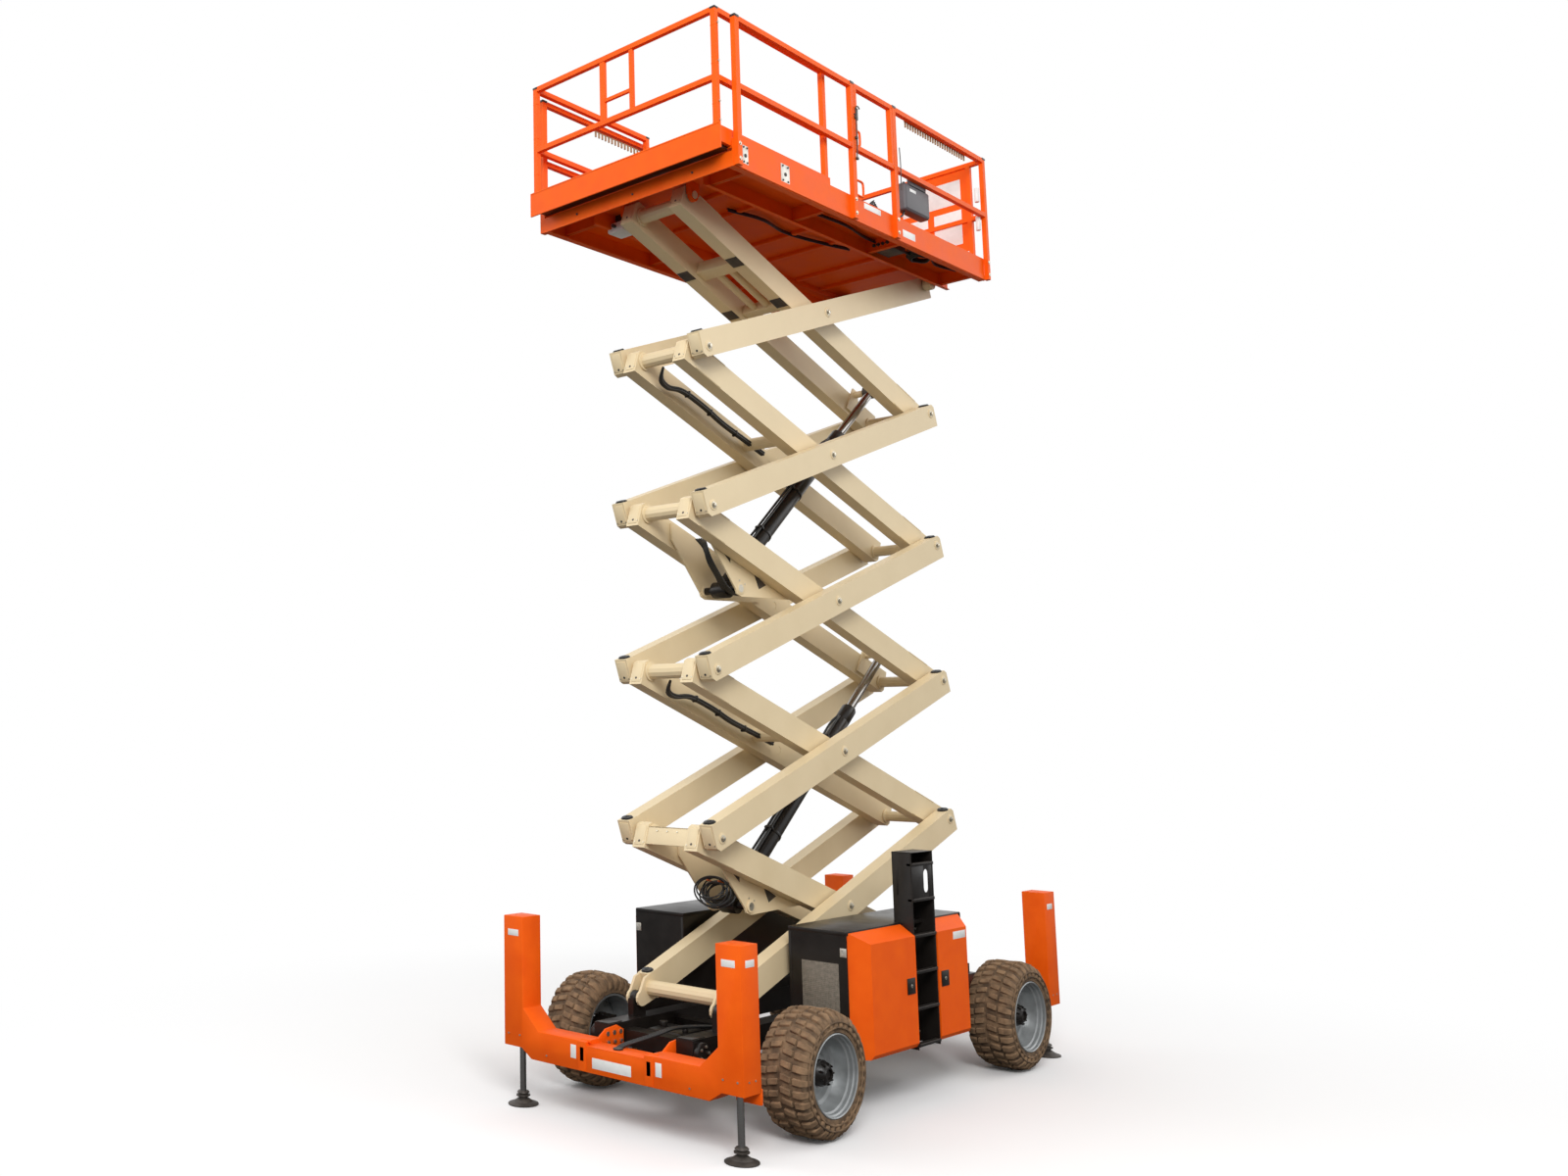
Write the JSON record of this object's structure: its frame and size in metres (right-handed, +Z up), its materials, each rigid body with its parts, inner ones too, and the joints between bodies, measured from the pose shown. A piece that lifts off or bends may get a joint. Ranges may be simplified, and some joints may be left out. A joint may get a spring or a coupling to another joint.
{
  "type": "rough terrain scissor lift",
  "caption": "Self-propelled scissor lift with outrigger jacks, a folding arm stack raised by cylinders, and a railed platform with a sliding deck.",
  "frame": {"origin": "on the ground below the middle of the machine", "axes": "+Z up, -Y towards the machine's front, +X towards its left side"},
  "size_m": [2.29, 4.523, 7.7506],
  "materials": {
    "orange_paint": "gloss",
    "cream_paint": "gloss",
    "black_paint": "satin",
    "tyre_rubber": "matt, muddy",
    "rim_silver": "satin",
    "chrome_rod": "polished",
    "dark_steel": "worn",
    "grey_plastic": "matt"
  },
  "bodies": {
    "chassis": {"chassis_frame": "black_paint", "front_axle": "black_paint", "rear_axle": "black_paint", "front_jack_beam": "orange_paint", "rear_jack_beam": "orange_paint", "left_enclosure": "black_paint", "right_enclosure": "black_paint", "left_ladder": "black_paint", "engine": "dark_steel", "hydraulic_tank": "dark_steel"},
    "outer_1": {"outer_arms_1": "cream_paint"},
    "inner_1": {"inner_arms_1": "cream_paint"},
    "outer_2": {"outer_arms_2": "cream_paint"},
    "inner_2": {"inner_arms_2": "cream_paint"},
    "outer_3": {"outer_arms_3": "cream_paint"},
    "inner_3": {"inner_arms_3": "cream_paint"},
    "outer_4": {"outer_arms_4": "cream_paint"},
    "inner_4": {"inner_arms_4": "cream_paint"},
    "outer_5": {"outer_arms_5": "cream_paint"},
    "inner_5": {"inner_arms_5": "cream_paint"},
    "platform": {"platform_deck": "orange_paint", "left_rails": "orange_paint", "right_rails": "orange_paint", "rear_rails": "orange_paint", "control_box": "grey_plastic"},
    "lower_rod": {"lower_cylinder_rod": "chrome_rod"},
    "lower_barrel": {"lower_cylinder_barrel": "black_paint"},
    "upper_rod": {"upper_cylinder_rod": "chrome_rod"},
    "upper_barrel": {"upper_cylinder_barrel": "black_paint"},
    "extension": {"extension_deck": "orange_paint", "extension_rails": "orange_paint"},
    "gate": {"gate": "orange_paint"},
    "left_front_door": {"left_front_door": "orange_paint"},
    "left_rear_door": {"left_rear_door": "orange_paint"},
    "right_front_door": {"right_front_door": "orange_paint"},
    "right_rear_door": {"right_rear_door": "orange_paint"},
    "right_steering": {"right_knuckle": "black_paint"},
    "left_steering": {"left_knuckle": "black_paint"},
    "tie_rod": {"tie_rod": "dark_steel"},
    "front_left_wheel": {"front_left_tyre": "tyre_rubber", "front_left_rim": "rim_silver"},
    "front_left_jack": {"front_left_jack_leg": "dark_steel"},
    "front_right_wheel": {"front_right_tyre": "tyre_rubber", "front_right_rim": "rim_silver"},
    "front_right_jack": {"front_right_jack_leg": "dark_steel"},
    "rear_left_wheel": {"rear_left_tyre": "tyre_rubber", "rear_left_rim": "rim_silver"},
    "rear_left_jack": {"rear_left_jack_leg": "dark_steel"},
    "rear_right_wheel": {"rear_right_tyre": "tyre_rubber", "rear_right_rim": "rim_silver"},
    "rear_right_jack": {"rear_right_jack_leg": "dark_steel"}
  },
  "joints": [
    {"name": "lift", "type": "hinge", "parent": "chassis", "child": "outer_1", "pos_m": [0, -1.55, 0.745], "axis": [1, 0, 0], "range_deg": [-16.2, 42.2]},
    {"name": "inner_1_pivot", "type": "hinge", "parent": "outer_1", "child": "inner_1", "pos_m": [0, 0.0767, 1.33386], "axis": [1, 0, 0], "range_deg": [-84.5, 32.5]},
    {"name": "outer_2_pivot", "type": "hinge", "parent": "inner_1", "child": "outer_2", "pos_m": [0, -1.55, 1.92271], "axis": [1, 0, 0], "range_deg": [-32.5, 84.5]},
    {"name": "inner_2_pivot", "type": "hinge", "parent": "outer_2", "child": "inner_2", "pos_m": [0, 0.0767, 2.51157], "axis": [1, 0, 0], "range_deg": [-84.5, 32.5]},
    {"name": "outer_3_pivot", "type": "hinge", "parent": "inner_2", "child": "outer_3", "pos_m": [0, -1.55, 3.10043], "axis": [1, 0, 0], "range_deg": [-32.5, 84.5]},
    {"name": "inner_3_pivot", "type": "hinge", "parent": "outer_3", "child": "inner_3", "pos_m": [0, 0.0767, 3.68928], "axis": [1, 0, 0], "range_deg": [-84.5, 32.5]},
    {"name": "outer_4_pivot", "type": "hinge", "parent": "inner_3", "child": "outer_4", "pos_m": [0, -1.55, 4.27814], "axis": [1, 0, 0], "range_deg": [-32.5, 84.5]},
    {"name": "inner_4_pivot", "type": "hinge", "parent": "outer_4", "child": "inner_4", "pos_m": [0, 0.0767, 4.867], "axis": [1, 0, 0], "range_deg": [-84.5, 32.5]},
    {"name": "outer_5_pivot", "type": "hinge", "parent": "inner_4", "child": "outer_5", "pos_m": [0, -1.55, 5.45585], "axis": [1, 0, 0], "range_deg": [-32.5, 84.5]},
    {"name": "inner_5_pivot", "type": "hinge", "parent": "outer_5", "child": "inner_5", "pos_m": [0, 0.0767, 6.04471], "axis": [1, 0, 0], "range_deg": [-84.5, 32.5]},
    {"name": "platform_pivot", "type": "hinge", "parent": "inner_5", "child": "platform", "pos_m": [0, -1.55, 6.63357], "axis": [1, 0, 0], "range_deg": [-16.3, 42.3]},
    {"name": "lower_rod_pivot", "type": "hinge", "parent": "inner_3", "child": "lower_rod", "pos_m": [0, 1.44675, 3.33159], "axis": [1, 0, 0], "range_deg": [-30.39, 79.01]},
    {"name": "lower_cylinder_stroke", "type": "slide", "parent": "lower_rod", "child": "lower_barrel", "axis": [0, -0.7673, -0.6413], "range_m": [-0.5665, 1.4741]},
    {"name": "upper_rod_pivot", "type": "hinge", "parent": "inner_5", "child": "upper_rod", "pos_m": [0, 1.44675, 5.68701], "axis": [1, 0, 0], "range_deg": [-30.39, 79.01]},
    {"name": "upper_cylinder_stroke", "type": "slide", "parent": "upper_rod", "child": "upper_barrel", "axis": [0, -0.7673, -0.6413], "range_m": [-0.5665, 1.4741]},
    {"name": "deck_extension", "type": "slide", "parent": "platform", "child": "extension", "axis": [0, -1, 0], "range_m": [0, 1.22]},
    {"name": "gate_swing", "type": "hinge", "parent": "platform", "child": "gate", "pos_m": [0.9053, 0.299, 7.20557], "axis": [0, 0, 1], "range_deg": [-90, 0]},
    {"name": "left_front_door_hinge", "type": "hinge", "parent": "chassis", "child": "left_front_door", "pos_m": [0.93, -0.837, 0.8], "axis": [0, 0, 1], "range_deg": [-75, 0]},
    {"name": "left_rear_door_hinge", "type": "hinge", "parent": "chassis", "child": "left_rear_door", "pos_m": [0.93, 0.787, 0.8], "axis": [0, 0, 1], "range_deg": [0, 100]},
    {"name": "right_front_door_hinge", "type": "hinge", "parent": "chassis", "child": "right_front_door", "pos_m": [-0.93, -0.837, 0.8], "axis": [0, 0, 1], "range_deg": [0, 75]},
    {"name": "right_rear_door_hinge", "type": "hinge", "parent": "chassis", "child": "right_rear_door", "pos_m": [-0.93, 0.787, 0.8], "axis": [0, 0, 1], "range_deg": [-100, 0]},
    {"name": "steering", "type": "hinge", "parent": "chassis", "child": "right_steering", "pos_m": [-0.88, -1.34, 0.42], "axis": [0, 0, 1], "range_deg": [-30, 30]},
    {"name": "left_steering_pivot", "type": "hinge", "parent": "chassis", "child": "left_steering", "pos_m": [0.88, -1.34, 0.42], "axis": [0, 0, 1], "range_deg": [-30, 30]},
    {"name": "tie_rod_pivot", "type": "hinge", "parent": "right_steering", "child": "tie_rod", "pos_m": [-0.88, -1.19, 0.42], "axis": [0, 0, 1], "range_deg": [-30, 30]},
    {"name": "front_left_wheel_spin", "type": "hinge", "parent": "left_steering", "child": "front_left_wheel", "pos_m": [0.88, -1.34, 0.42], "axis": [1, 0, 0], "continuous": true},
    {"name": "front_left_jack_stroke", "type": "slide", "parent": "chassis", "child": "front_left_jack", "axis": [0, 0, 1], "range_m": [-0.15, 0.3]},
    {"name": "front_right_wheel_spin", "type": "hinge", "parent": "right_steering", "child": "front_right_wheel", "pos_m": [-0.88, -1.34, 0.42], "axis": [1, 0, 0], "continuous": true},
    {"name": "front_right_jack_stroke", "type": "slide", "parent": "chassis", "child": "front_right_jack", "axis": [0, 0, 1], "range_m": [-0.15, 0.3]},
    {"name": "rear_left_wheel_spin", "type": "hinge", "parent": "chassis", "child": "rear_left_wheel", "pos_m": [0.88, 1.5, 0.42], "axis": [1, 0, 0], "continuous": true},
    {"name": "rear_left_jack_stroke", "type": "slide", "parent": "chassis", "child": "rear_left_jack", "axis": [0, 0, 1], "range_m": [-0.15, 0.3]},
    {"name": "rear_right_wheel_spin", "type": "hinge", "parent": "chassis", "child": "rear_right_wheel", "pos_m": [-0.88, 1.5, 0.42], "axis": [1, 0, 0], "continuous": true},
    {"name": "rear_right_jack_stroke", "type": "slide", "parent": "chassis", "child": "rear_right_jack", "axis": [0, 0, 1], "range_m": [-0.15, 0.3]}
  ],
  "couplings": [
    {"joint": "inner_1_pivot", "follows": "lift", "ratio": -2},
    {"joint": "outer_2_pivot", "follows": "lift", "ratio": 2},
    {"joint": "inner_2_pivot", "follows": "lift", "ratio": -2},
    {"joint": "outer_3_pivot", "follows": "lift", "ratio": 2},
    {"joint": "inner_3_pivot", "follows": "lift", "ratio": -2},
    {"joint": "outer_4_pivot", "follows": "lift", "ratio": 2},
    {"joint": "inner_4_pivot", "follows": "lift", "ratio": -2},
    {"joint": "outer_5_pivot", "follows": "lift", "ratio": 2},
    {"joint": "inner_5_pivot", "follows": "lift", "ratio": -2},
    {"joint": "platform_pivot", "follows": "lift", "ratio": 1},
    {"joint": "lower_rod_pivot", "follows": "lift", "ratio": 1.87},
    {"joint": "lower_cylinder_stroke", "follows": "lift", "m_per_rad": 2},
    {"joint": "upper_rod_pivot", "follows": "lift", "ratio": 1.87},
    {"joint": "upper_cylinder_stroke", "follows": "lift", "m_per_rad": 2},
    {"joint": "left_steering_pivot", "follows": "steering", "ratio": 1},
    {"joint": "tie_rod_pivot", "follows": "steering", "ratio": -1}
  ]
}
